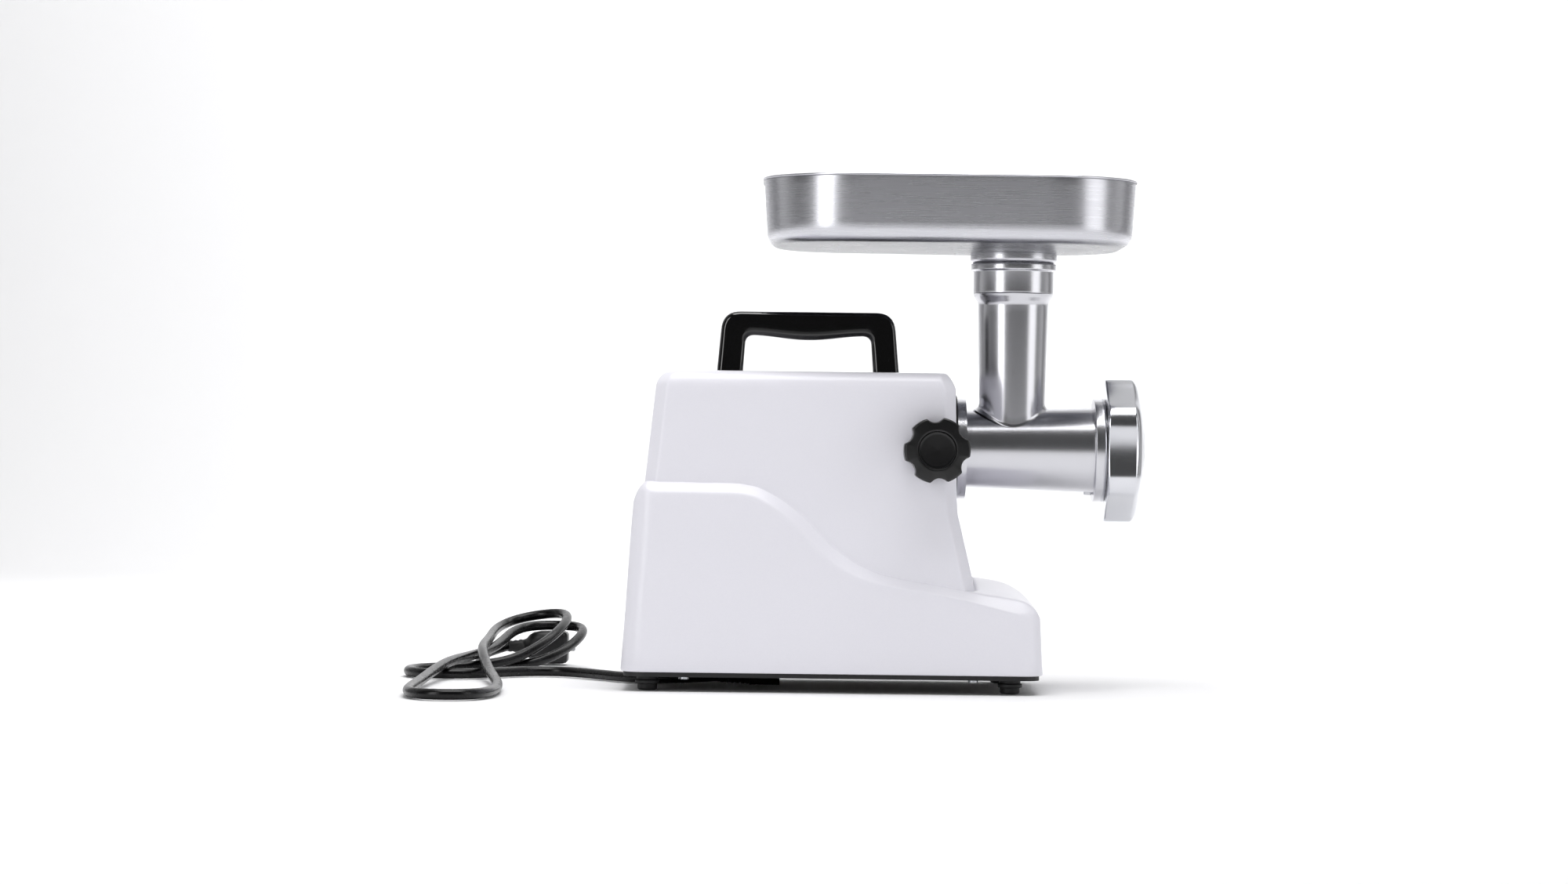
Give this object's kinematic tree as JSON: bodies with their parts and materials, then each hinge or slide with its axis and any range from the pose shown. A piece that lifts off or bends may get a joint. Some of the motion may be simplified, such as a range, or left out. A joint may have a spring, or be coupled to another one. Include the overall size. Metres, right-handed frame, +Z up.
{
  "type": "electric meat grinder",
  "caption": "Electric meat grinder: motor and gear train in a stepped casing, cast grinding head with auger, knife, plate and ring nut, feed tray, lock knob, carry handle and mains lead.",
  "frame": {"origin": "on the table, midway between the four feet", "axes": "+X towards the end that grinds, +Z up, +Y away from the side with the lock knob"},
  "size_m": [0.5412, 0.4645, 0.368],
  "materials": {
    "casing_white": "moulded ABS, satin to gloss",
    "handle_black": "moulded, high gloss",
    "knob_black": "moulded, satin",
    "base_black": "moulded, fine grain",
    "foot_rubber": "moulded rubber",
    "gasket_rubber": "moulded rubber",
    "steel_bright": "zinc plated, bright",
    "cast_aluminium": "cast, linished",
    "polished_aluminium": "cast, polished",
    "tray_aluminium": "pressed sheet, brushed",
    "tool_steel": "ground",
    "gear_steel": "cut and hardened",
    "bronze": "sintered",
    "copper": "enamelled wire",
    "lamination": "stamped steel stack",
    "carbon": "pressed carbon",
    "nylon": "natural nylon",
    "fan_black": "moulded",
    "switch_black": "moulded",
    "button_red": "moulded",
    "cord_pvc": "extruded PVC, glossy",
    "plug_pvc": "moulded PVC"
  },
  "bodies": {
    "housing": {"lower_casing": "casing_white", "upper_casing": "casing_white", "base_plate": "base_black", "rubber_feet": "foot_rubber", "foot_screws": "steel_bright", "casing_screws": "steel_bright", "carry_handle": "handle_black", "handle_screws": "steel_bright", "socket_gasket": "gasket_rubber", "gearbox_case": "cast_aluminium", "gearbox_cover": "cast_aluminium", "gearbox_screws": "steel_bright", "output_bearings": "gear_steel", "output_seal": "gasket_rubber", "countershaft_bushes": "bronze", "motor_bearings": "gear_steel", "stator_core": "lamination", "stator_coils": "copper", "motor_brackets": "cast_aluminium", "motor_bolts": "steel_bright", "brush_holders": "bronze", "carbon_brushes": "carbon", "knob_bush": "bronze", "switch_body": "switch_black", "cord_gland": "plug_pvc", "power_cord": "cord_pvc", "plug_body": "plug_pvc", "plug_blades": "steel_bright"},
    "motor_rotor": {"motor_shaft": "gear_steel", "rotor_core": "lamination", "rotor_windings": "copper", "commutator": "copper", "motor_fan": "fan_black"},
    "first_countershaft": {"first_shaft": "gear_steel", "first_gear": "gear_steel"},
    "second_countershaft": {"second_shaft": "gear_steel", "second_gear": "gear_steel"},
    "output_drive": {"output_shaft": "gear_steel", "output_gear": "gear_steel"},
    "head": {"grinder_barrel": "cast_aluminium", "plate_pin": "tool_steel"},
    "auger": {"auger_screw": "cast_aluminium", "auger_front_pin": "tool_steel", "auger_tail": "tool_steel", "auger_washer": "nylon", "knife": "tool_steel"},
    "plate": {"cutting_plate": "tool_steel"},
    "nut": {"ring_nut": "polished_aluminium"},
    "tray": {"meat_tray": "tray_aluminium"},
    "knob_seat": {"lock_washer": "steel_bright"},
    "knob": {"lock_knob": "knob_black", "knob_cap": "knob_black", "lock_stud": "steel_bright"},
    "rocker": {"switch_rocker": "switch_black"},
    "reverse": {"reverse_button": "switch_black"},
    "reset": {"reset_button": "button_red"}
  },
  "joints": [
    {"name": "motor_spin", "type": "hinge", "parent": "housing", "child": "motor_rotor", "pos_m": [0, -0.00165, 0.07266], "axis": [1, 0, 0], "continuous": true},
    {"name": "first_gear_spin", "type": "hinge", "parent": "housing", "child": "first_countershaft", "pos_m": [0, 0.01559, 0.09472], "axis": [1, 0, 0], "continuous": true},
    {"name": "second_gear_spin", "type": "hinge", "parent": "housing", "child": "second_countershaft", "pos_m": [0, -0.00731, 0.12201], "axis": [1, 0, 0], "continuous": true},
    {"name": "output_spin", "type": "hinge", "parent": "housing", "child": "output_drive", "pos_m": [0, 0, 0.174], "axis": [1, 0, 0], "continuous": true},
    {"name": "head_slide", "type": "slide", "parent": "housing", "child": "head", "axis": [1, 0, 0], "range_m": [0, 0.045]},
    {"name": "auger_spin", "type": "hinge", "parent": "head", "child": "auger", "pos_m": [0, 0, 0.174], "axis": [1, 0, 0], "continuous": true},
    {"name": "nut_travel", "type": "slide", "parent": "head", "child": "plate", "axis": [1, 0, 0], "range_m": [0, 0.013]},
    {"name": "nut_turn", "type": "hinge", "parent": "plate", "child": "nut", "pos_m": [0.2, 0, 0.174], "axis": [1, 0, 0], "range_deg": [0, 1550]},
    {"name": "tray_lift", "type": "slide", "parent": "head", "child": "tray", "axis": [0, 0, 1], "range_m": [0, 0.06]},
    {"name": "knob_travel", "type": "slide", "parent": "housing", "child": "knob_seat", "axis": [0, -1, 0], "range_m": [0, 0.006]},
    {"name": "knob_turn", "type": "hinge", "parent": "knob_seat", "child": "knob", "pos_m": [0.074, -0.0802, 0.1725], "axis": [0, -1, 0], "range_deg": [0, 1430]},
    {"name": "rocker_tilt", "type": "hinge", "parent": "housing", "child": "rocker", "pos_m": [-0.06, 0.084, 0.112], "axis": [0, 0, 1], "range_deg": [-18, 0]},
    {"name": "reverse_press", "type": "slide", "parent": "housing", "child": "reverse", "axis": [0, -1, 0], "range_m": [0, 0.0025], "stiffness_N_per_m": 400},
    {"name": "reset_press", "type": "slide", "parent": "housing", "child": "reset", "axis": [0, -1, 0], "range_m": [0, 0.0025], "stiffness_N_per_m": 400}
  ],
  "couplings": [
    {"joint": "first_gear_spin", "follows": "motor_spin", "ratio": -0.21739},
    {"joint": "second_gear_spin", "follows": "motor_spin", "ratio": 0.051985},
    {"joint": "output_spin", "follows": "motor_spin", "ratio": -0.012996},
    {"joint": "auger_spin", "follows": "motor_spin", "ratio": -0.012996},
    {"joint": "nut_travel", "follows": "nut_turn", "m_per_rad": 0.00047746},
    {"joint": "knob_travel", "follows": "knob_turn", "m_per_rad": 0.00023873}
  ]
}
